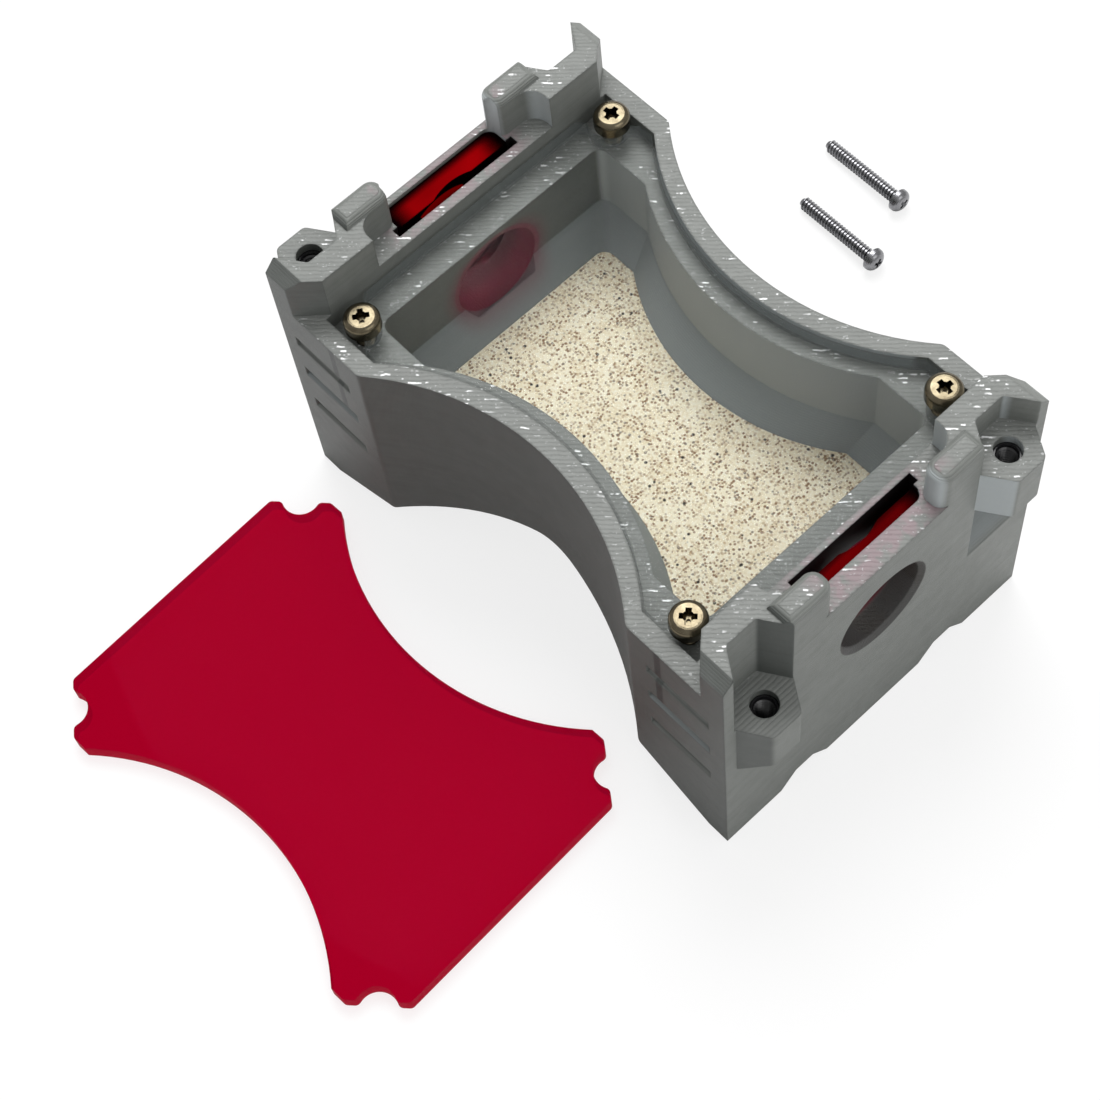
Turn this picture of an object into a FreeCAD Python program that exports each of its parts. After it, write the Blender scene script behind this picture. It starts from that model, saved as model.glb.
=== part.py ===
import FreeCAD, Part
import math
import os
from FreeCAD import Vector

# Ant habitat of the bridge kind: a printed body with a waisted chamber under a clear cover, an
# entrance tunnel in each end, and lugs that screw it to the next habitat. Millimetres, X along the
# body, Y across it, Z up. The origin is the middle of the body's footprint, on the table.

# Printed body
length = 60.0
width = 40.0
rim_top = 30.5
end_flat = 12.1
waist_half = 13.5
shoulder_round = 1.0

# Rim, ledge and cover
rim_width = 2.0
end_strip = 5.3
cover_thickness = 2.0
cover_gap = 0.3

# Chamber and its floor
end_wall = 8.25
side_wall = 5.75
waist_wall = 4.0
chamber_bend = 2.5
chamber_corner = 1.2
border_top = 20.2
floor_top = 17.0
border_width = 2.9
plate_thickness = 1.5
plate_gap = 0.05

# Arch under the body, with a rounded crown
foot_length = 2.5
arch_rise = 12.7
arch_crown_radius = 6.0

# Rail grooves along the underside
rail_inner = 6.4
rail_outer = 12.7
rail_depth = 2.0

# Grip grooves on the four side flats
grip_heights = (25.2, 19.7, 13.7)
grip_from_end = 2.0
grip_length = 7.8
grip_height = 1.5
grip_depth = 0.7

# Entrance tunnels
tunnel_radius = 5.0
tunnel_height = 22.3
mouth_flare = 0.5

# Deck over each tunnel, with its slot: a gate slit on the inner side and a red window beside it.
# Each slot is given by the distances of its inner and outer sides from the end face.
deck_rise = 1.4
deck_half = 12.0
slit_width = 1.05
slit_half = 7.6
slit_bottom = 17.0
window_half = 7.0
window_corner = 1.1
left_slot = (4.2, 0.7)
right_slot = (4.7, 2.3)
window_drop = 0.45
window_floor = 26.5
window_gap = 0.05
window_notch_radius = 6.0
window_notch_depth = 0.5

# Corner blocks and posts, across the body from its side face and along it from the end face
block_rise = 5.7
block_width = 8.9
block_slant_width = 2.7
block_slant_length = 2.8
block_chamfer = 1.3
block_hollow_radius = 1.8
post_rise = 6.5
post_length = 2.8
post_from_side = (13.4, 7.9)
post_round = 1.2
post_dome = 0.9

# Pocket and lug of the end joint, across the body from its side face
pocket_length = 2.8
pocket_back = (6.6, 3.1)
pocket_mouth = (8.4, 1.2)
pocket_round = 0.5
lug_reach = 2.9
lug_tip = (6.6, 3.2)
lug_root = (8.5, 1.4)
lug_round = 0.7
upper_lug_rise = 1.9
joint_height = 25.6
joint_gap = 0.2
slope_start = 16.2
lug_hole_from_side = 4.9
lug_hole_depth = 7.0

# Thread sleeves in the lugs
sleeve_radius = 1.35
sleeve_bore = 0.8
sleeve_drop = 0.9
sleeve_length = 4.6

# Cover screws
screw_from_end = 8.35
screw_from_side = 4.0
screw_radius = 1.0
screw_gap = 0.05
screw_length = 9.0
screw_head_radius = 2.0
screw_head_height = 1.7
screw_head_round = 0.55
screw_hole_spare = 1.0
cross_width = 0.75
cross_span = 2.5
cross_depth = 0.8

# Notch in each corner of a cover, and the slanted corner it opens through
notch_radius = 2.0
notch_out = 0.55
corner_cut_end = 4.1
corner_cut_side = 4.9
lobe_round = 0.6

# Joining screws, lying loose on the table; each head is given along the body and out from its
# back side
joiner_radius = 0.75
joiner_length = 10.6
joiner_head_radius = 1.3
joiner_head_height = 1.1
joiner_head_round = 0.45
joiner_cross_width = 0.4
joiner_cross_span = 1.5
joiner_cross_depth = 0.45
joiner_tip = 0.4
joiner_heading = -2.0
joiner_heads = ((-9.0, 24.4), (-5.7, 17.0))

# Red cover, taken off and lying in front of the body
red_cover_x = -3.85
red_cover_distance = 2.69
red_cover_turn = 2.9

# How far a cut runs on past what it cuts, through the whole body or just past a face, and how
# closely two heights or places have to agree
through = 100.0
past = 1.0
same = 0.001

half_length = length / 2
half_width = width / 2
shoulder = half_length - end_flat
recess_end = half_length - end_strip
ledge_top = rim_top - cover_thickness
deck_top = rim_top + deck_rise
block_top = rim_top + block_rise
post_top = rim_top + post_rise
upper_lug_top = rim_top + upper_lug_rise
chamber_end = half_length - end_wall
chamber_half = half_width - side_wall
lug_hole_y = half_width - lug_hole_from_side


def from_side(distances):
    """Places across the body, from their distances to its side face."""
    return [half_width - distance for distance in distances]


def waisted_wire(end, half, bend, waist, corner, z):
    """Outline with straight ends and flats, a concave arc on each long side, round end corners."""
    lean = corner * (1 - math.sqrt(0.5))
    edges = []
    for side in (1, -1):
        along = [
            Vector(side * end, side * (corner - half), z),
            Vector(side * end, side * (half - corner), z),
            Vector(side * (end - lean), side * (half - lean), z),
            Vector(side * (end - corner), side * half, z),
            Vector(side * bend, side * half, z),
            Vector(0, side * waist, z),
            Vector(-side * bend, side * half, z),
            Vector(side * (corner - end), side * half, z),
            Vector(side * (lean - end), side * (half - lean), z),
            Vector(-side * end, side * (half - corner), z),
        ]
        edges.append(Part.makeLine(along[0], along[1]))
        if corner > 0:
            edges.append(Part.Arc(along[1], along[2], along[3]).toShape())
        edges.append(Part.makeLine(along[3], along[4]))
        edges.append(Part.Arc(along[4], along[5], along[6]).toShape())
        edges.append(Part.makeLine(along[6], along[7]))
        if corner > 0:
            edges.append(Part.Arc(along[7], along[8], along[9]).toShape())
    return Part.Wire(Part.__sortEdges__(edges))


def waisted_prism(end, half, bend, waist, corner, bottom, top):
    wire = waisted_wire(end, half, bend, waist, corner, bottom)
    return Part.Face(wire).extrude(Vector(0, 0, top - bottom))


def plan_prism(points, bottom, top):
    corners = [Vector(x, y, bottom) for x, y in points]
    face = Part.Face(Part.makePolygon(corners + corners[:1]))
    return face.extrude(Vector(0, 0, top - bottom))


def side_prism(points, start, stop):
    """Outline in X and Z, carried along Y."""
    corners = [Vector(x, start, z) for x, z in points]
    face = Part.Face(Part.makePolygon(corners + corners[:1]))
    return face.extrude(Vector(0, stop - start, 0))


def end_prism(points, start, stop):
    """Outline in Y and Z, carried along X."""
    corners = [Vector(start, y, z) for y, z in points]
    face = Part.Face(Part.makePolygon(corners + corners[:1]))
    return face.extrude(Vector(stop - start, 0, 0))


def box(low, high):
    size = [b - a for a, b in zip(low, high)]
    return Part.makeBox(size[0], size[1], size[2], Vector(low[0], low[1], low[2]))


def upright(radius, x, y, bottom, top):
    return Part.makeCylinder(radius, top - bottom, Vector(x, y, bottom))


def upright_edges(shape, places):
    """The vertical edges of a shape that stand at the given places of the plan."""
    found = []
    for edge in shape.Edges:
        low, high = edge.Vertexes[0].Point, edge.Vertexes[-1].Point
        leaning = math.hypot(low.x - high.x, low.y - high.y) > same
        if leaning or abs(low.z - high.z) < same:
            continue
        if any(math.hypot(low.x - x, low.y - y) < same for x, y in places):
            found.append(edge)
    return found


def level_edges(shape, z):
    """The edges of a shape that lie flat at a height."""
    return [edge for edge in shape.Edges
            if edge.BoundBox.ZMax < z + same and edge.BoundBox.ZMin > z - same]


def mirrored(shape):
    """The same shape on the other side of the body."""
    return shape.mirror(Vector(0, 0, 0), Vector(0, 1, 0))


def turned(shape):
    """The same shape at the other end of the body, turned half round."""
    copy = shape.copy()
    copy.rotate(Vector(0, 0, 0), Vector(0, 0, 1), 180)
    return copy


def four(places):
    """Each place, in all four quarters of the plan."""
    return [(sx * x, sy * y) for x, y in places for sx in (1, -1) for sy in (1, -1)]


def waisted_body():
    """The plain body: outline, arch, rails and grips, before anything is cut from the top."""
    body = waisted_prism(half_length, half_width, shoulder, waist_half, 0, 0, rim_top)
    corners = upright_edges(body, four([(shoulder, half_width)]))
    body = body.makeFillet(shoulder_round, corners)

    foot = half_length - foot_length
    arch = side_prism([(-foot, 0), (foot, 0), (0, arch_rise)], -through, through)
    arch = arch.makeFillet(arch_crown_radius, level_edges(arch, arch_rise))
    body = body.cut(arch)

    for side in (1, -1):
        rail = end_prism([
            (side * rail_inner, 0), (side * rail_outer, 0),
            (side * (rail_outer - rail_depth), rail_depth),
            (side * (rail_inner + rail_depth), rail_depth),
        ], -through, through)
        body = body.cut(rail)

    grip_end = half_length - grip_from_end
    for height in grip_heights:
        low, high = height - grip_height / 2, height + grip_height / 2
        for sx, sy in four([(1, 1)]):
            groove = end_prism([
                (sy * half_width, low), (sy * (half_width - grip_depth), low + grip_depth / 2),
                (sy * (half_width - grip_depth), high), (sy * half_width, high),
            ], grip_end - grip_length, grip_end)
            if sx < 0:
                groove = groove.mirror(Vector(0, 0, 0), Vector(1, 0, 0))
            body = body.cut(groove)
    return body


def corner_block():
    """Block, arm and post of one corner, at positive X and Y, before its pocket is cut."""
    bottom = ledge_top
    post_x = half_length - post_length
    post_near, post_far = from_side(post_from_side)
    block_side, slant_y = from_side((block_width, block_slant_width))
    hollow_x, hollow_y = post_x - block_hollow_radius, block_side - block_hollow_radius
    lean = block_hollow_radius * math.sqrt(0.5)
    corners = [Vector(x, y, bottom) for x, y in (
        (post_x, hollow_y), (post_x, post_near + post_round),
        (half_length, post_near + post_round), (half_length, half_width),
        (half_length - block_slant_length, half_width), (recess_end, slant_y),
        (recess_end, block_side), (hollow_x, block_side),
    )]
    edges = [Part.makeLine(start, stop) for start, stop in zip(corners, corners[1:])]
    middle = Vector(hollow_x + lean, hollow_y + lean, bottom)
    edges.append(Part.Arc(corners[-1], middle, corners[0]).toShape())
    face = Part.Face(Part.Wire(Part.__sortEdges__(edges)))
    block = face.extrude(Vector(0, 0, block_top - bottom))
    chamfer = end_prism([
        (half_width, block_top - block_chamfer), (half_width - block_chamfer, block_top),
        (half_width, block_top),
    ], recess_end, half_length)
    block = block.cut(chamfer)
    post = box((post_x, post_near, bottom), (half_length, post_far, post_top))
    ends = upright_edges(post, [(post_x, post_near), (half_length, post_near)])
    post = post.makeFillet(post_round, ends)
    post = post.makeFillet(post_dome, level_edges(post, post_top))
    return block.fuse(post)


def pocket(bottom, top):
    """Trapezium pocket, open through the end face."""
    beyond = half_length + lug_reach + past
    back_x = half_length - pocket_length
    back_low, back_high = from_side(pocket_back)
    mouth_low, mouth_high = from_side(pocket_mouth)
    shape = plan_prism([
        (back_x, back_low), (back_x, back_high), (half_length, mouth_high),
        (beyond, mouth_high), (beyond, mouth_low), (half_length, mouth_low),
    ], bottom, top)
    back = upright_edges(shape, [(back_x, back_low), (back_x, back_high)])
    return shape.makeFillet(pocket_round, back)


def lug(bottom, top):
    """Tapered lug on the end face, rooted in the body."""
    root = half_length - past
    tip = half_length + lug_reach
    tip_low, tip_high = from_side(lug_tip)
    root_low, root_high = from_side(lug_root)
    shape = plan_prism([
        (root, root_low), (half_length, root_low), (tip, tip_low),
        (tip, tip_high), (half_length, root_high), (root, root_high),
    ], bottom, top)
    return shape.makeFillet(lug_round, upright_edges(shape, [(tip, tip_low), (tip, tip_high)]))


def under_lug_room():
    """Room under an upper lug, over a 45 degree slope that rises into the body."""
    outside = half_length + past
    back_x = half_length - pocket_length
    top = joint_height + joint_gap
    return side_prism([
        (outside, slope_start - past), (back_x, slope_start + pocket_length),
        (back_x, top), (outside, top),
    ], 0, through)


def over_lug_slope():
    """What lies over the 45 degree slope that carries a lower lug out of the end face."""
    root = half_length - past
    beyond = half_length + lug_reach + past
    return side_prism([
        (root, through), (beyond, through), (beyond, slope_start + lug_reach + past),
        (half_length, slope_start), (root, slope_start),
    ], 0, through)


def cut_upper_corner(body):
    """Upper lug at positive X and Y: it hangs over a pocket that takes the next lower lug."""
    body = body.cut(pocket(upper_lug_top, through))
    body = body.cut(pocket(0, through).common(under_lug_room()))
    body = body.fuse(lug(joint_height + joint_gap, upper_lug_top))
    hole = upright(sleeve_radius, half_length, lug_hole_y, joint_height, upper_lug_top + past)
    return body.cut(hole)


def cut_lower_corner(body):
    """Lower lug at positive X and Y, under a pocket that is open to the top."""
    top = joint_height - joint_gap
    body = body.cut(pocket(top, through))
    body = body.fuse(lug(0, top).common(over_lug_slope()))
    return body.cut(upright(sleeve_radius, half_length, lug_hole_y, top - lug_hole_depth, top + past))


def round_well(inner, outer, half, bottom, top):
    """Upright well with its two outer corners round."""
    well = box((inner, -half, bottom), (outer, half, top))
    return well.makeFillet(window_corner, upright_edges(well, [(outer, -half), (outer, half)]))


def slot_sides(slot):
    return [half_length - distance for distance in slot]


def slot_cut(slot):
    inner, outer = slot_sides(slot)
    well = round_well(inner + slit_width / 2, outer, window_half, window_floor, through)
    slit = box((inner, -slit_half, slit_bottom), (inner + slit_width, slit_half, through))
    return well.fuse(slit)


def tunnel():
    inside = chamber_end - past
    bore = Part.makeCylinder(tunnel_radius, half_length + past - inside,
                             Vector(inside, 0, tunnel_height), Vector(1, 0, 0))
    flare = Part.makeCone(tunnel_radius, tunnel_radius + 2 * mouth_flare, 2 * mouth_flare,
                          Vector(half_length - mouth_flare, 0, tunnel_height), Vector(1, 0, 0))
    return bore.fuse(flare)


def chamber_sizes():
    """Outline of the chamber's upright walls."""
    return (chamber_end, chamber_half, shoulder - chamber_bend, waist_half - waist_wall,
            chamber_corner)


def plate_sizes(gap):
    """Outline of the floor plate inside its sloping border, let out by a gap."""
    end, half, bend, waist, corner = chamber_sizes()
    inward = border_width - gap
    return end - inward, half - inward, bend - border_width / 4, waist - inward, corner


def chamber():
    walls = waisted_prism(*chamber_sizes(), border_top, through)
    border = Part.makeLoft([waisted_wire(*chamber_sizes(), border_top),
                            waisted_wire(*plate_sizes(0), floor_top)], True, True)
    seat = waisted_prism(*plate_sizes(plate_gap), floor_top - plate_thickness, floor_top)
    return walls.fuse(border).fuse(seat)


def printed_body():
    body = waisted_body()
    deck = box((recess_end, -deck_half, ledge_top), (half_length, deck_half, deck_top))
    body = body.fuse([deck, turned(deck)])
    block = corner_block()
    body = body.fuse([block, turned(block), mirrored(block), turned(mirrored(block))])
    recess = waisted_prism(recess_end, half_width - rim_width, shoulder, waist_half - rim_width,
                           0, ledge_top, rim_top + past)
    body = body.cut(recess).cut(chamber())
    bore = tunnel()
    body = body.cut(bore).cut(turned(bore))
    body = body.cut(slot_cut(right_slot)).cut(turned(slot_cut(left_slot)))
    for _ in range(2):
        body = cut_upper_corner(body)
        body = mirrored(cut_lower_corner(mirrored(body)))
        body = turned(body)
    hole_bottom = ledge_top - screw_depth() - screw_hole_spare
    for x, y in four([(half_length - screw_from_end, half_width - screw_from_side)]):
        body = body.cut(upright(screw_radius + screw_gap, x, y, hole_bottom, ledge_top + past))
    return body.removeSplitter()


def screw_depth():
    """How far a cover screw goes into the body under the cover."""
    return screw_length - cover_thickness


def cover_half():
    return half_width - rim_width - cover_gap


def cover(bottom):
    """Plate that drops into the recess, with a notch for a screw in each corner."""
    end, half = recess_end - cover_gap, cover_half()
    top = bottom + cover_thickness
    plate = waisted_prism(end, half, shoulder, waist_half - rim_width - cover_gap, 0, bottom, top)
    low, high = (end, half - corner_cut_end), (end - corner_cut_side, half)
    corner = plan_prism([low, (end + past, low[1]), (end + past, half + past),
                         (high[0], half + past), high], bottom, top)
    slant = math.hypot(corner_cut_end, corner_cut_side)
    hole_x = end - corner_cut_side / 2 + notch_out * corner_cut_end / slant
    hole_y = half - corner_cut_end / 2 + notch_out * corner_cut_side / slant
    hole = upright(notch_radius, hole_x, hole_y, bottom, top)
    notch = corner.fuse(hole).removeSplitter()
    plate = plate.cut([notch, turned(notch), mirrored(notch), turned(mirrored(notch))])
    tips = []
    for edge in plate.Edges:
        start, stop = edge.Vertexes[0].Point, edge.Vertexes[-1].Point
        standing = math.hypot(start.x - stop.x, start.y - stop.y) < same and start.z != stop.z
        if standing and abs(start.x) > shoulder + same:
            tips.append(edge)
    return plate.makeFillet(lobe_round, tips)


def taken_off_cover():
    """The red cover, flat on the table in front of the body."""
    shape = cover(0)
    shape.rotate(Vector(0, 0, 0), Vector(0, 0, 1), red_cover_turn)
    shape.translate(Vector(red_cover_x, -half_width - red_cover_distance - cover_half(), 0))
    return shape


def cross_recess(width_across, span, depth, top):
    bar = box((-span / 2, -width_across / 2, top - depth), (span / 2, width_across / 2, top))
    other = bar.copy()
    other.rotate(Vector(0, 0, 0), Vector(0, 0, 1), 90)
    return bar.fuse(other)


def screw(radius, shank, head_radius, head_height, head_round, cross, point):
    """Pan head screw, upright, with the underside of its head at the origin."""
    head = upright(head_radius, 0, 0, 0, head_height)
    head = head.makeFillet(head_round, level_edges(head, head_height))
    head = head.cut(cross_recess(*cross, head_height))
    stem = upright(radius, 0, 0, point - shank, 0)
    tip = Part.makeCone(radius / 2, radius, point, Vector(0, 0, -shank))
    return head.fuse([stem, tip]).removeSplitter()


def cover_screw(x, y):
    shape = screw(screw_radius, screw_length, screw_head_radius, screw_head_height,
                  screw_head_round, (cross_width, cross_span, cross_depth), screw_radius / 2)
    shape.translate(Vector(x, y, rim_top))
    return shape


def joining_screw(head_x, from_back):
    """Loose screw that lies on the rim of its head and the end of its shank."""
    shape = screw(joiner_radius, joiner_length, joiner_head_radius, joiner_head_height,
                  joiner_head_round, (joiner_cross_width, joiner_cross_span, joiner_cross_depth),
                  joiner_tip)
    straight = joiner_length - joiner_tip
    fall = math.degrees(math.atan2(joiner_head_radius - joiner_radius, straight))
    shape.rotate(Vector(0, 0, 0), Vector(0, 1, 0), 90 - fall)
    lowest = shape.BoundBox.ZMin
    shape.rotate(Vector(0, 0, 0), Vector(0, 0, 1), joiner_heading)
    shape.translate(Vector(head_x, half_width + from_back, -lowest))
    return shape


def sleeve(top):
    """Black thread sleeve pressed into a lug hole."""
    outside = upright(sleeve_radius, half_length, lug_hole_y, top - sleeve_length, top)
    return outside.cut(upright(sleeve_bore, half_length, lug_hole_y, top - sleeve_length, top))


def red_window(slot):
    """Red bar that lies in the deck over the tunnel, beside the gate slit."""
    inner, outer = slot_sides(slot)
    inner += slit_width
    bar = round_well(inner, outer - window_gap, window_half - window_gap, window_floor,
                     deck_top - window_drop)
    notch_x = inner + window_notch_depth - window_notch_radius
    bar = bar.cut(upright(window_notch_radius, notch_x, 0, window_floor, deck_top))
    bore = Part.makeCylinder(tunnel_radius, through, Vector(0, 0, tunnel_height), Vector(1, 0, 0))
    return bar.cut(bore)


def build():
    """Every piece by its name."""
    pieces = {"printed_body": printed_body()}
    pieces["clear_cover"] = cover(ledge_top)
    pieces["red_cover"] = taken_off_cover()
    pieces["floor_plate"] = waisted_prism(*plate_sizes(0), floor_top - plate_thickness, floor_top)
    for side, sx in (("left", -1), ("right", 1)):
        for depth, sy in (("front", -1), ("back", 1)):
            place = sx * (half_length - screw_from_end), sy * (half_width - screw_from_side)
            pieces["cover_screw_" + side + "_" + depth] = cover_screw(*place)
    pieces["right_red_window"] = red_window(right_slot)
    pieces["left_red_window"] = turned(red_window(left_slot))
    upper = sleeve(upper_lug_top - sleeve_drop)
    lower = mirrored(sleeve(joint_height - joint_gap - sleeve_drop))
    pieces["right_upper_sleeve"] = upper
    pieces["left_upper_sleeve"] = turned(upper)
    pieces["right_lower_sleeve"] = lower
    pieces["left_lower_sleeve"] = turned(lower)
    for number, place in enumerate(joiner_heads, 1):
        pieces["joining_screw_" + str(number)] = joining_screw(*place)
    return pieces


os.makedirs("parts", exist_ok=True)
for name, shape in build().items():
    if not shape.isValid():
        raise ValueError(name + " is not a valid shape")
    print(name, "solids", len(shape.Solids), "volume", round(shape.Volume, 2))
    shape.exportStep("parts/" + name + ".step")
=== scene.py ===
import math
import bmesh
import bpy
from mathutils import Matrix, Vector


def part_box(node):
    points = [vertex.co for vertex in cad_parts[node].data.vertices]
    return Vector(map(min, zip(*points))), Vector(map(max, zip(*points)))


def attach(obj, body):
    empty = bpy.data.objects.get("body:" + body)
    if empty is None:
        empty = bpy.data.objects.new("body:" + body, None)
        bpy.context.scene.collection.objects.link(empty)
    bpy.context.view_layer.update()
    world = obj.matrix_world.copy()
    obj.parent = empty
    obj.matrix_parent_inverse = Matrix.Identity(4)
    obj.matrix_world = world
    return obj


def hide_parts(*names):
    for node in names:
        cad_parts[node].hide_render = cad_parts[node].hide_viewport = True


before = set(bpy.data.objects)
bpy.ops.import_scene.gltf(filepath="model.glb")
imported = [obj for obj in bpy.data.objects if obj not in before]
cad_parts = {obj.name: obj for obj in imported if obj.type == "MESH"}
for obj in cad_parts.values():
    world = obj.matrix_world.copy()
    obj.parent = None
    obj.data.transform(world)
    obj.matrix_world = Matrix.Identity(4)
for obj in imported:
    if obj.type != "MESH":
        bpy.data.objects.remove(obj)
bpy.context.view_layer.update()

MM = 0.001

# The photograph's side in pixels, and its camera's focal length in those pixels
PHOTO_SIDE = 1100
FOCAL_LENGTH = 2440.35

# The print's layers and raster strokes, and the height of its tunnels' axis, in mm
LAYER = 0.2
STROKE = 0.44
TUNNEL_HEIGHT = 22.3


# Camera

def photo_camera():
    """Camera at the photograph's viewing angle, from above the front right corner."""
    azimuth, elevation, roll = (math.radians(a) for a in (55.63, 62.96, -9.54))
    across, up, distance = -11.29, -3.68, 250.49
    back = Vector((math.sin(azimuth) * math.cos(elevation),
                   -math.cos(azimuth) * math.cos(elevation), math.sin(elevation)))
    right = Vector((math.cos(azimuth), math.sin(azimuth), 0))
    upward = back.cross(right)
    turn = Matrix.Rotation(roll, 3, "Z").transposed()
    axes = turn @ Matrix((right, upward, back))
    data = bpy.data.cameras.new("photo_camera")
    data.sensor_fit = "HORIZONTAL"
    data.sensor_width = 36
    data.lens = data.sensor_width * FOCAL_LENGTH / PHOTO_SIDE
    data.clip_start = 0.01
    data.clip_end = 20
    camera = bpy.data.objects.new("photo_camera", data)
    bpy.context.collection.objects.link(camera)
    columns = axes.transposed()
    camera.matrix_world = (Matrix.Translation(columns @ Vector((across, up, distance)) * MM)
                           @ columns.to_4x4())
    bpy.context.scene.camera = camera


# Shader maths

class Value:
    """A number or colour on its way through a material's nodes."""

    def __init__(self, look, socket):
        self.look, self.socket = look, socket

    def maths(self, operation, *others, clamp=False):
        return self.look.node("Math", {"operation": operation, "use_clamp": clamp}, self, *others)

    def __add__(self, other):
        return self.maths("ADD", other)

    __radd__ = __add__

    def __sub__(self, other):
        return self.maths("SUBTRACT", other)

    def __rsub__(self, other):
        return self.look.node("Math", {"operation": "SUBTRACT"}, other, self)

    def __mul__(self, other):
        return self.maths("MULTIPLY", other)

    __rmul__ = __mul__

    def __truediv__(self, other):
        return self.maths("DIVIDE", other)

    def floor(self):
        return self.maths("FLOOR")

    def fraction(self):
        return self.maths("FRACT")

    def size(self):
        return self.maths("ABSOLUTE")

    def above(self, start, end):
        """0 below start, 1 above end, and a smooth rise between them."""
        return self.look.node("MapRange", {"interpolation_type": "SMOOTHSTEP"}, self,
                              start, end, 0.0, 1.0)

    def held(self):
        return self.maths("ADD", 0.0, clamp=True)


class Look:
    """One procedural material."""

    def __init__(self, name, **finish):
        self.material = bpy.data.materials.new(name)
        self.material.use_nodes = True
        self.tree = self.material.node_tree
        self.shader = self.tree.nodes["Principled BSDF"]
        self.output = self.tree.nodes["Material Output"]
        for socket, number in finish.items():
            self.shader.inputs[socket.replace("_", " ")].default_value = number

    def node(self, kind, settings, *values, out=0):
        """A node of a kind, with its settings, and the values or links of its sockets in order."""
        made = self.tree.nodes.new("ShaderNode" + kind)
        for name, setting in settings.items():
            setattr(made, name, setting)
        sockets = [s for s in made.inputs if s.enabled]
        for socket, value in zip(sockets, values):
            if isinstance(value, Value):
                self.tree.links.new(value.socket, socket)
            elif value is not None:
                socket.default_value = value
        outputs = [s for s in made.outputs if s.enabled]
        return Value(self, outputs[out])

    def place(self):
        """The point on the object, in millimetres."""
        point = self.node("TexCoord", {}, out=3)
        return self.node("VectorMath", {"operation": "SCALE"}, point, 1000.0)

    def facing(self):
        """The three parts of the direction in which the surface faces."""
        return self.split(self.node("TexCoord", {}, out=1))

    def split(self, vector):
        parts = self.node("SeparateXYZ", {}, vector)
        return [Value(self, s) for s in parts.socket.node.outputs]

    def joined(self, x, y, z):
        return self.node("CombineXYZ", {}, x, y, z)

    def noise(self, vector, scale, detail=2.0, rough=0.5):
        return self.node("TexNoise", {}, vector, scale, detail, rough)

    def dice(self, vector):
        """A different number for each whole step of a vector."""
        return self.node("TexWhiteNoise", {"noise_dimensions": "3D"}, vector)

    def spots(self, vector, scale):
        return self.node("TexVoronoi", {}, vector, scale)

    def blend(self, share, first, second):
        made = self.tree.nodes.new("ShaderNodeMix")
        made.data_type = "RGBA"
        for socket, value in ((made.inputs[0], share), (made.inputs[6], first),
                              (made.inputs[7], second)):
            if isinstance(value, Value):
                self.tree.links.new(value.socket, socket)
            else:
                socket.default_value = value
        return Value(self, made.outputs[2])

    def feed(self, socket, value):
        self.tree.links.new(value.socket, self.shader.inputs[socket])

    def relief(self, height, depth_mm, strength=1.0, softened=None):
        """Bump of a height that runs from 0 to 1, as deep as depth_mm, on softened edges or not."""
        bump = self.node("Bump", {}, strength, depth_mm * MM, None, height)
        if softened is not None:
            self.tree.links.new(softened.socket, bump.socket.node.inputs["Normal"])
        self.feed("Normal", bump)

    def see_through(self, share, tint):
        """Lets tinted light through, but for the share that the surface itself takes."""
        clear = self.node("BsdfTransparent", {}, tint)
        surface = self.node("MixShader", {}, share, clear, Value(self, self.shader.outputs[0]))
        self.tree.links.new(surface.socket, self.output.inputs["Surface"])


def shade(red, green, blue):
    """An sRGB colour of 0 to 255 as the linear colour that a shader takes."""
    linear = []
    for part in (red, green, blue):
        s = part / 255
        linear.append(s / 12.92 if s <= 0.04045 else ((s + 0.055) / 1.055) ** 2.4)
    return (*linear, 1.0)


# Finishes

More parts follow.
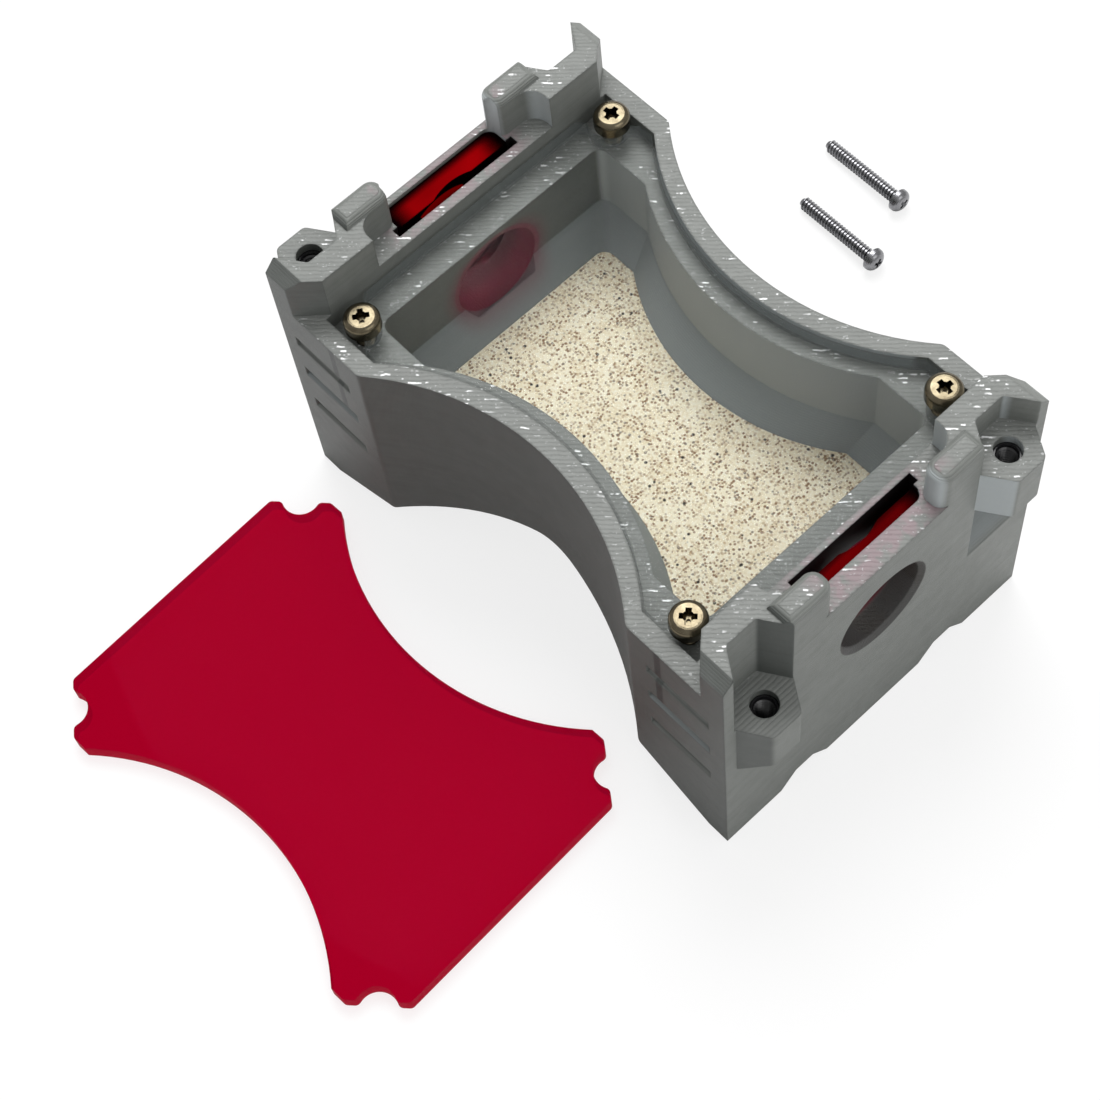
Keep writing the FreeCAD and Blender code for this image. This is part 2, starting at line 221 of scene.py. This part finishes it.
def grey_print():
    """Layered grey print: fine level lines on upright faces, raster strokes on level ones."""
    look = Look("grey_print", IOR=1.46)
    point = look.place()
    x, y, z = look.split(point)
    _, ny, nz = look.facing()
    level = nz.size().above(0.93, 0.985)
    topside = level * nz.above(0.5, 0.6)

    wander = look.noise(point, 0.35, 2.0) * 0.08
    layer = (z + wander) / LAYER
    rib = layer.fraction() - 0.5
    rib_height = 1 - rib * rib * 4
    layer_tone = look.dice(look.joined(0.0, 0.0, layer.floor()))
    band_tone = look.noise(look.joined(x * 0.04, y * 0.04, z * 2.2), 1.0, 3.0, 0.7)

    # Strokes run at 45 degrees, but across the lower lugs' tops
    low_lug = x.size().above(27.3, 27.6) * (1 - z.above(26.0, 26.5)) * y.size().above(11.0, 11.5)
    slant = (x - y) * math.sqrt(0.5)
    crossing = (x + y) * math.sqrt(0.5)
    ripple = look.noise(point, 0.9, 3.0, 0.6) * 0.42
    across = slant * (1 - low_lug) + x * low_lug + ripple * (1 - low_lug * 0.7)
    run = crossing * (1 - low_lug) + y * low_lug
    stroke = across / STROKE
    bow = stroke.fraction() - 0.5
    stroke_height = 1 - bow * bow * 4
    lane = stroke.floor()
    stroke_tone = look.dice(look.joined(lane, 5.0, 0.0))

    # Painted highlights: pale glints dashed along the strokes and painted sparkle on crumbs and
    # beads; painted shade in the hollows between beads
    lane_shift = look.dice(look.joined(lane, 9.0, 2.0)) * 40
    dash = look.noise(look.joined(run * 0.62 + lane_shift, lane * 3.7, z * 2), 1.0, 2.0, 0.7)
    patch = look.noise(point, 0.25, 2.0, 0.6)
    line = 1 - (bow - 0.05).size().above(0.08, 0.26)
    printed = topside * (1 - low_lug) * z.above(24.0, 26.0)
    glint = dash.above(0.56, 0.62) * patch.above(0.51, 0.59) * printed * line
    crumb = look.noise(point, 2.6, 2.0, 0.8)
    bead = look.noise(look.joined(run * 1.5, slant * 3.4, z), 1.0, 2.0, 0.7)
    painted_sparkle = (crumb.above(0.67, 0.73) * 0.8 + bead.above(0.65, 0.71)) * printed
    # Painted shade in the hollows between the beads
    shade_between_beads = (1 - bead.above(0.3, 0.4)) * printed

    mottle = look.noise(point, 0.55, 4.0, 0.6)
    grain = look.noise(point, 6.0, 3.0, 0.6)
    # Painted pink light from the red windows on the deck round each slot
    near_slot = (1 - (x.size() - 27.4).size().above(1.6, 3.6)) * (1 - y.size().above(6.5, 9.5))
    painted_pink_glow = near_slot * topside * z.above(31.0, 31.5) * look.noise(point, 0.8, 2.0).above(0.35, 0.6)

    # Painted light in the tunnels: red light from the windows painted crimson into the passages and
    # as a glow round their openings; painted shade deeper in and in their bare mouths, and black
    # painted shade in the slits and window wells over them
    from_axis = look.node("VectorMath", {"operation": "LENGTH"},
                          look.joined(0.0, y, z - TUNNEL_HEIGHT))
    inside = (1 - from_axis.above(5.45, 5.6)) * x.size().above(21.7, 21.8)
    passage = inside * (1 - x.size().above(27.0, 27.6))
    deep = passage * x.size().above(23.4, 25.4)
    mouth = inside * x.size().above(27.0, 27.6)
    slit = (1 - (x.size() - 26.05).size().above(0.86, 0.94)) * (1 - y.size().above(7.7, 7.8))
    passage = (passage + slit * (1 - z.above(26.0, 27.0))).held()
    slit = slit * z.above(26.0, 27.0) * (1 - z.above(31.7, 31.85))
    well = (1 - (x.size() - 27.3).size().above(2.0, 2.1)) * (1 - y.size().above(7.05, 7.15))
    well = well * z.above(26.0, 26.4) * (1 - z.above(31.3, 31.6))
    painted_red_glow = (1 - from_axis.above(4.8, 7.4)) * (1 - x.size().above(21.9, 22.1))
    painted_red_glow = painted_red_glow * (1 - z.above(26.6, 28.4))
    painted_red_glow = painted_red_glow * x.size().above(18.6, 21.8) * (1 - topside)

    # Painted shade on the body's front and the chamber's end walls, painted light on the chamber's
    # back wall, and a bluish grey for the chamber's sloping border
    back_wall = (0 - ny).above(0.3, 0.9) * y.above(5.0, 7.0) * (1 - y.above(17.0, 17.5))
    border = nz.above(0.2, 0.4) * (1 - level) * z.above(16.0, 17.0) * (1 - z.above(20.4, 20.8))
    front = (0 - ny).above(0.25, 0.9) * (0 - y).above(9.0, 10.0)
    chamber_end = 1 - (x.size() - 21.75).size().above(0.3, 0.5)
    chamber_end = chamber_end * (1 - level) * z.above(19.0, 20.0)

    # Random mottle, grain and layer tones; the crests of the raster strokes are painted lighter, as
    # painted light on the ridges
    tone = (mottle * 0.42 + grain * 0.16 + layer_tone * (1 - level) * 0.14
            + band_tone * (1 - level) * 0.3 + stroke_tone * level * 0.16
            + stroke_height * level * 0.2)
    colour = look.blend(tone.held(), shade(88, 91, 87), shade(133, 136, 132))
    # Level tops painted lighter, as painted light falling from above
    colour = look.blend(topside * 0.25, colour, shade(146, 148, 146))
    # Painted shade between the beads of the raster
    colour = look.blend(shade_between_beads * 0.4, colour, shade(92, 94, 92))
    # Painted pink glow from the red windows
    colour = look.blend(painted_pink_glow * 0.34, colour, shade(168, 124, 138))
    scuff = look.noise(look.joined(x * 0.3, y * 0.3, z * 3.0), 1.0, 3.0, 0.7).above(0.64, 0.76)
    colour = look.blend(scuff * (1 - level) * 0.16, colour, shade(176, 178, 176))
    # Painted shade on the body's front and the chamber's end walls
    colour = look.blend(front * 0.62 + chamber_end * 0.4, colour, shade(52, 57, 55))
    # Painted light on the chamber's back wall
    colour = look.blend(back_wall * 0.8, colour, shade(184, 191, 193))
    colour = look.blend(border * 0.6, colour, shade(132, 139, 141))
    # Painted red glow round the openings, then painted red light in the passages
    colour = look.blend(painted_red_glow * 0.6, colour, shade(112, 18, 48))
    colour = look.blend(passage, colour, shade(126, 4, 44))
    # Painted shade deeper in the passages, in the bare mouths, and black painted shade in the slits
    # and wells
    colour = look.blend(deep * 0.6, colour, shade(66, 2, 18))
    colour = look.blend(mouth * 0.8, colour, shade(44, 37, 33))
    colour = look.blend((slit + well).held(), colour, shade(12, 6, 7))
    # Painted highlights: sparkle on crumbs and beads, then glints along the strokes
    colour = look.blend(painted_sparkle.held() * 0.55, colour, shade(212, 214, 214))
    colour = look.blend(glint, colour, shade(250, 251, 252))
    look.feed("Base Color", colour)
    look.feed("Roughness", (0.5 - glint * 0.3 - mottle * 0.1 + grain * 0.06).held())
    height = rib_height * (1 - level) * (1 - border * 0.7)
    height = height + (stroke_height * 0.7 + crumb * 0.9 + grain * 0.3) * level
    softened = look.node("Bevel", {"samples": 3}, 0.3 * MM)
    look.relief(height + mottle * 0.3 + inside * grain * 2.5 + bead * printed * 0.8, 0.05, 0.8,
                softened)
    return look.material


def clear_acrylic():
    """Clear sheet: its faces mirror a little, and its sawn edge is frosted and dark grey, as
    painted shade for the gap round the sheet.
    """
    # Dark grey base: painted shade along the sheet's edge
    look = Look("clear_acrylic", Base_Color=(0.2, 0.22, 0.22, 1), IOR=1.49)
    _, _, nz = look.facing()
    point = look.place()
    edge = 1 - nz.size().above(0.4, 0.8)
    marks = look.noise(point, 1.4, 3.0).above(0.5, 0.8)
    look.feed("Roughness", (edge * 0.35 + marks * 0.05).held())
    mirror = look.node("Fresnel", {}, 1.49)
    look.see_through((mirror * 0.3 + edge * 0.2).held(), (0.985, 0.99, 0.988, 1))
    look.relief(marks, 0.002, 0.3)
    return look.material


def red_acrylic():
    """Deep red clear sheet, darker and duller along its sawn edge."""
    look = Look("red_sheet", IOR=1.49, Specular_IOR_Level=0.2)
    _, _, nz = look.facing()
    point = look.place()
    x, y, z = look.split(point)
    edge = 1 - nz.size().above(0.4, 0.8)
    saw = look.noise(look.joined(x * 6, y * 6, z * 0.5), 1.0, 2.0)
    cloud = look.noise(point, 0.05, 2.0)
    look.feed("Base Color", look.blend((edge * (0.5 + saw * 0.5) + cloud * 0.1).held(),
                                       shade(120, 0, 26), shade(104, 0, 30)))
    look.feed("Roughness", (edge * 0.3 + cloud * 0.04).held())
    mirror = look.node("Fresnel", {}, 1.49)
    look.see_through((mirror * 0.12 + edge * 0.16 + 0.02).held(), (0.66, 0.01, 0.15, 1))
    look.relief(saw * edge, 0.01, 0.3)
    return look.material


def window_acrylic():
    """Red bar over a dark well: painted light along its middle, painted shade towards its ends, and
    more painted shade on the right-hand bar.
    """
    look = Look("window_red", IOR=1.49, Specular_IOR_Level=0.0)
    _, _, nz = look.facing()
    x, y, _ = look.split(look.place())
    streak = look.noise(look.joined(x * 0.3, y * 0.16, 1.0), 1.0, 1.0)
    upper = nz.above(0.2, 0.6)
    lit = (1 - y.size().above(4.2, 6.8)) * (1 - (x.size() - 27.6).size().above(0.5, 1.7)) * upper
    # The right-hand bar gets more painted shade
    lit = lit * (0.55 + streak * 0.6) * (1 - x.above(-1.0, 1.0) * 0.45)
    look.feed("Base Color", look.blend(lit.held(), shade(14, 2, 4), shade(150, 2, 7)))
    look.feed("Roughness", ((1 - upper) * 0.3 + streak * 0.06).held())
    look.see_through((lit * 0.5 + (1 - upper) * 0.2 + 0.4).held(), (0.7, 0.01, 0.03, 1))
    return look.material


def sand():
    """Pale sand bonded to a plate: cream grains with brown, grey and black specks."""
    look = Look("sand_plate", Roughness=0.85)
    point = look.place()

    def specks(shift, scale, share, size):
        """Grains of one kind, few or many, and how much of each cell they fill."""
        moved = look.node("VectorMath", {"operation": "ADD"}, point, (shift, shift * 0.7, shift))
        cells = look.spots(moved, scale)
        kind = look.node("SeparateColor", {}, Value(look, cells.socket.node.outputs["Color"]))
        return (1 - kind.above(share, share + 0.03)) * (1 - cells.above(size, size + 0.12))

    cloud = look.noise(point, 0.35, 3.0, 0.6)
    fine = look.noise(point, 4.5, 3.0, 0.75)
    patchy = look.noise(point, 0.9, 2.0).above(0.35, 0.62)
    colour = look.blend(cloud.above(0.35, 0.65), shade(250, 240, 212), shade(240, 226, 194))
    colour = look.blend(fine.above(0.45, 0.62) * 0.7, colour, shade(255, 251, 236))
    colour = look.blend((1 - fine.above(0.3, 0.44)) * 0.55, colour, shade(196, 170, 130))
    colour = look.blend(specks(3.1, 2.7, 0.4, 0.36) * 0.5, colour, shade(184, 150, 110))
    colour = look.blend(specks(8.4, 3.3, 0.42, 0.4) * (0.4 + patchy * 0.5), colour,
                        shade(136, 100, 66))
    colour = look.blend(specks(5.7, 2.4, 0.12, 0.28) * 0.75, colour, shade(104, 92, 82))
    colour = look.blend(specks(1.9, 1.9, 0.05, 0.24) * 0.95, colour, shade(38, 34, 31))
    look.feed("Base Color", colour)
    look.relief(fine + specks(3.1, 2.7, 0.3, 0.34) * 0.6, 0.1, 0.7)
    return look.material


def metal(name, pale, deep, roughness):
    """Plated or bare steel with a soft uneven shine, paler and darker in soft random patches."""
    look = Look(name, Metallic=1.0)
    point = look.place()
    cloud = look.noise(point, 1.1, 3.0, 0.6)
    fine = look.noise(point, 14.0, 2.0)
    look.feed("Base Color", look.blend((cloud * 0.8 + fine * 0.25).held(), pale, deep))
    look.feed("Roughness", (cloud * 0.12 + fine * 0.08 + roughness).held())
    look.relief(fine, 0.008, 0.4)
    return look.material


def black_sleeve():
    """Glossy black moulding."""
    look = Look("black_sleeve", IOR=1.5)
    point = look.place()
    cloud = look.noise(point, 1.5, 3.0, 0.6)
    look.feed("Base Color", look.blend(cloud, shade(12, 12, 13), shade(34, 34, 36)))
    look.feed("Roughness", (cloud * 0.2 + 0.12).held())
    look.relief(cloud, 0.02, 0.5)
    return look.material


def floor_white():
    """Pale table that fades to white for the camera and keeps the object's shadow."""
    look = Look("floor_white", Base_Color=shade(250, 250, 250), Roughness=0.6)
    glow = look.node("Emission", {}, (1, 1, 1, 1), 1.0)
    ray = look.node("LightPath", {})
    seen = ray.maths("MAXIMUM", Value(look, ray.socket.node.outputs["Is Transmission Ray"]))
    surface = look.node("MixShader", {}, seen * 0.78, Value(look, look.shader.outputs[0]), glow)
    look.tree.links.new(surface.socket, look.output.inputs["Surface"])
    return look.material


# Pieces

def finished(name, shape, body, material, nodes):
    """Makes a piece of a shape, in place of its nodes and riding on its body."""
    bmesh.ops.remove_doubles(shape, verts=shape.verts, dist=0.5e-6)
    bmesh.ops.recalc_face_normals(shape, faces=shape.faces)
    mesh = bpy.data.meshes.new(name)
    shape.to_mesh(mesh)
    shape.free()
    mesh.materials.append(material)
    piece = bpy.data.objects.new(name, mesh)
    bpy.context.collection.objects.link(piece)
    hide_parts(*nodes)
    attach(piece, body)


def turned_part(shape, outline, steps=40):
    """Spins an outline of radius and height, in mm, round the upright axis."""
    corners = [shape.verts.new((r * MM, 0, h * MM)) for r, h in outline]
    lines = [shape.edges.new(pair) for pair in zip(corners, corners[1:])]
    bmesh.ops.spin(shape, geom=corners + lines, axis=(0, 0, 1), cent=(0, 0, 0),
                   angle=math.tau, steps=steps, use_merge=True)
    bmesh.ops.remove_doubles(shape, verts=shape.verts, dist=1e-7)


def thread(shape, root, crest, pitch, low, high, steps=24):
    """Helical ridge between two heights, in mm; its ends are closed."""
    inner = root + (root - crest) * 0.25
    turns = (high - low) / pitch - 1
    count = int(turns * steps)
    rise = pitch / steps
    profile = [(inner, low + 0.08 * pitch), (crest, low + 0.38 * pitch),
               (crest, low + 0.52 * pitch), (inner, low + 0.82 * pitch)]
    corners = [shape.verts.new((r * MM, 0, h * MM)) for r, h in profile]
    lines = [shape.edges.new((corners[i], corners[i - 1])) for i in range(4)]
    before = set(shape.edges)
    bmesh.ops.spin(shape, geom=corners + lines, axis=(0, 0, 1), cent=(0, 0, 0),
                   dvec=(0, 0, rise * MM), angle=math.tau * count / steps, steps=count)
    new = (set(shape.edges) - before) | set(lines)
    ends = [e for e in new if e.is_valid and e.is_boundary]
    bmesh.ops.holes_fill(shape, edges=ends, sides=4)


def carved(shape, cutters):
    """The shape with each cutter's shape taken away."""
    mesh = bpy.data.meshes.new("blank")
    bmesh.ops.recalc_face_normals(shape, faces=shape.faces)
    shape.to_mesh(mesh)
    shape.free()
    blank = bpy.data.objects.new("blank", mesh)
    bpy.context.collection.objects.link(blank)
    tools = []
    for cutter in cutters:
        bmesh.ops.recalc_face_normals(cutter, faces=cutter.faces)
        tool_mesh = bpy.data.meshes.new("cutter")
        cutter.to_mesh(tool_mesh)
        cutter.free()
        tool = bpy.data.objects.new("cutter", tool_mesh)
        bpy.context.collection.objects.link(tool)
        cut = blank.modifiers.new("cut", "BOOLEAN")
        cut.object = tool
        cut.operation = "DIFFERENCE"
        cut.solver = "EXACT"
        tools.append(tool)
    graph = bpy.context.evaluated_depsgraph_get()
    result = bmesh.new()
    result.from_mesh(blank.evaluated_get(graph).data)
    for used in [blank] + tools:
        bpy.data.objects.remove(used, do_unlink=True)
    return result


def cross_cutters(span, across, depth, top):
    """Tapered cross with a cone at its middle, as a cross screwdriver's tip leaves it."""
    cutters = []
    for quarter in (0, 1):
        wing = bmesh.new()
        bmesh.ops.create_cube(wing, size=1)
        bmesh.ops.scale(wing, vec=(span * MM, across * MM, 2 * depth * MM), verts=wing.verts)
        low = [v for v in wing.verts if v.co.z < 0]
        bmesh.ops.scale(wing, vec=(0.42, 0.62, 1), verts=low)
        bmesh.ops.rotate(wing, cent=(0, 0, 0), verts=wing.verts,
                         matrix=Matrix.Rotation(quarter * math.pi / 2, 3, "Z"))
        bmesh.ops.translate(wing, vec=(0, 0, top * MM), verts=wing.verts)
        cutters.append(wing)
    middle = bmesh.new()
    bmesh.ops.create_cone(middle, cap_ends=True, segments=16, radius1=0.2 * across * MM,
                          radius2=0.95 * across * MM, depth=1.6 * depth * MM)
    bmesh.ops.translate(middle, vec=(0, 0, (top - 0.42 * depth) * MM), verts=middle.verts)
    cutters.append(middle)
    return cutters


def pan_screw(head_radius, head_height, dome, cross, shank, root, pitch, length, point):
    """Pan head cross screw, upright, with the underside of its head at the origin, in mm."""
    head = bmesh.new()
    outline = [(0, 0), (head_radius - 0.08, 0), (head_radius, 0.08)]
    side = head_height - dome
    flat = head_radius - dome * 1.15
    outline.append((head_radius, side))
    for step in range(1, 7):
        angle = step / 6 * math.pi / 2
        outline.append((flat + (head_radius - flat) * math.cos(angle),
                        side + dome * math.sin(angle)))
    outline.append((0, head_height))
    turned_part(head, outline, 48)
    screw = carved(head, cross_cutters(*cross, head_height))
    turned_part(screw, [(0, 0.02), (root, 0.02), (root, point - length + 0.15),
                        (root * 0.75, -length), (0, -length)], 32)
    thread(screw, root, shank, pitch, 0.1 - length, 0.0)
    return screw


def cover_screws(material):
    """Four screws at the corners of the clear cover."""
    for side, sx in (("left", -1), ("right", 1)):
        for depth, sy in (("front", -1), ("back", 1)):
            node = "cover_screw_" + side + "_" + depth
            low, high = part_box(node)
            shape = pan_screw(1.8, 1.7, 0.6, (2.3, 0.7, 1.0), 1.0, 0.74, 0.62, 9.0, 0.5)
            turn = Matrix.Rotation(math.radians(25 + 37 * sx + 20 * sy), 4, "Z")
            middle = Vector(((low.x + high.x) / 2, (low.y + high.y) / 2, high.z - 1.7 * MM))
            bmesh.ops.transform(shape, matrix=Matrix.Translation(middle) @ turn, verts=shape.verts)
            finished("pan_screw_" + side + "_" + depth, shape,
                     "screw_" + side + "_" + depth, material, [node])


def joining_screws(material):
    """Two loose screws, lying on the rims of their heads and the ends of their shanks."""
    heads = ((-9.0, 44.4), (-5.7, 37.0))
    fall = math.atan2(1.3 - 0.75, 10.6 - 0.4)
    for number, (x, y) in enumerate(heads, 1):
        shape = pan_screw(1.3, 1.1, 0.75, (1.7, 0.42, 0.55), 0.75, 0.56, 0.4, 10.6, 0.3)
        lie = (Matrix.Rotation(math.radians(-2), 4, "Z")
               @ Matrix.Rotation(math.pi / 2 - fall, 4, "Y")
               @ Matrix.Rotation(math.radians(30 * number), 4, "Z"))
        bmesh.ops.transform(shape, matrix=lie, verts=shape.verts)
        lowest = min(v.co.z for v in shape.verts)
        bmesh.ops.translate(shape, vec=(x * MM, y * MM, -lowest), verts=shape.verts)
        finished("loose_screw_" + str(number), shape, "habitat", material,
                 ["joining_screw_" + str(number)])


def thread_sleeves(material):
    """Black sleeves in the lug holes, each with a thread in its bore."""
    for side in ("left", "right"):
        for level in ("upper", "lower"):
            node = side + "_" + level + "_sleeve"
            low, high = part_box(node)
            shape = bmesh.new()
            outline = [(1.0, 0), (1.35, 0), (1.35, 4.5), (1.25, 4.6), (1.1, 4.6), (1.0, 4.45),
                       (1.0, 0)]
            turned_part(shape, outline, 40)
            thread(shape, 1.0, 0.8, 0.4, 0.1, 4.5)
            middle = Vector(((low.x + high.x) / 2, (low.y + high.y) / 2, low.z))
            bmesh.ops.translate(shape, vec=middle, verts=shape.verts)
            finished("threaded_" + node, shape, "habitat", material, [node])


def sheet_piece(name, node, body, material, clearance, soften):
    """A cut sheet from its node: clear of what it rests on, with its sawn corners just broken."""
    shape = bmesh.new()
    shape.from_mesh(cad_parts[node].data)
    bmesh.ops.remove_doubles(shape, verts=shape.verts, dist=1e-6)
    bmesh.ops.dissolve_limit(shape, angle_limit=0.02, verts=shape.verts, edges=shape.edges)
    low = min(v.co.z for v in shape.verts)
    for corner in shape.verts:
        if corner.co.z < low + 1e-6:
            corner.co.z += clearance * MM
    rims = [e for e in shape.edges if len(e.link_faces) == 2
            and e.calc_face_angle() > 1.0 and abs((e.verts[0].co - e.verts[1].co).z) < 1e-6]
    bmesh.ops.bevel(shape, geom=rims, offset=soften * MM, affect="EDGES", segments=2,
                    profile=0.5, material=-1, clamp_overlap=True)
    bmesh.ops.triangulate(shape, faces=shape.faces)
    finished(name, shape, body, material, [node])


def dress(node, material):
    """Gives a node that keeps its own mesh its material."""
    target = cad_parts[node]
    target.data.materials.clear()
    target.data.materials.append(material)


# Light and floor

def floor():
    mesh = bpy.data.meshes.new("table")
    plane = bmesh.new()
    bmesh.ops.create_grid(plane, x_segments=1, y_segments=1, size=3.0)
    bmesh.ops.translate(plane, vec=(0, 0, -0.03 * MM), verts=plane.verts)
    plane.to_mesh(mesh)
    plane.free()
    mesh.materials.append(floor_white())
    table = bpy.data.objects.new("table", mesh)
    bpy.context.collection.objects.link(table)


def lamp(name, place, aim, size, power):
    data = bpy.data.lights.new(name, "AREA")
    data.shape = "DISK"
    data.size = size
    data.energy = power
    light = bpy.data.objects.new(name, data)
    bpy.context.collection.objects.link(light)
    light.location = place
    light.rotation_euler = (Vector(aim) - Vector(place)).to_track_quat("-Z", "Y").to_euler()


def studio():
    world = bpy.data.worlds.new("studio")
    bpy.context.scene.world = world
    world.use_nodes = True
    tree = world.node_tree
    surround = tree.nodes["Background"]
    surround.inputs["Color"].default_value = (1, 1, 1, 1)
    ray = tree.nodes.new("ShaderNodeLightPath")
    bright = tree.nodes.new("ShaderNodeMath")
    bright.operation = "MULTIPLY_ADD"
    bright.use_clamp = False
    tree.links.new(ray.outputs["Is Camera Ray"], bright.inputs[0])
    bright.inputs[1].default_value = 0.4
    bright.inputs[2].default_value = 0.6
    tree.links.new(bright.outputs[0], surround.inputs["Strength"])
    lamp("softbox", (-0.3, 0.25, 0.7), (0, 0, 0), 0.5, 4.4)
    lamp("fill", (0.5, 0.1, 0.55), (0, 0, 0), 0.5, 1.0)


bpy.context.scene.view_settings.view_transform = "Standard"

photo_camera()
floor()
studio()

dress("printed_body", grey_print())
sheet_piece("clear_sheet", "clear_cover", "cover", clear_acrylic(), 0.03, 0.06)
sheet_piece("red_sheet", "red_cover", "habitat", red_acrylic(), 0.02, 0.08)
window_red = window_acrylic()
for side in ("left", "right"):
    sheet_piece(side + "_window_bar", side + "_red_window", "habitat", window_red,
                0.0, 0.05)
dress("floor_plate", sand())
cover_screws(metal("screw_nickel", shade(134, 126, 106), shade(58, 48, 32), 0.13))
joining_screws(metal("screw_steel", shade(158, 158, 160), shade(104, 104, 108), 0.18))
thread_sleeves(black_sleeve())
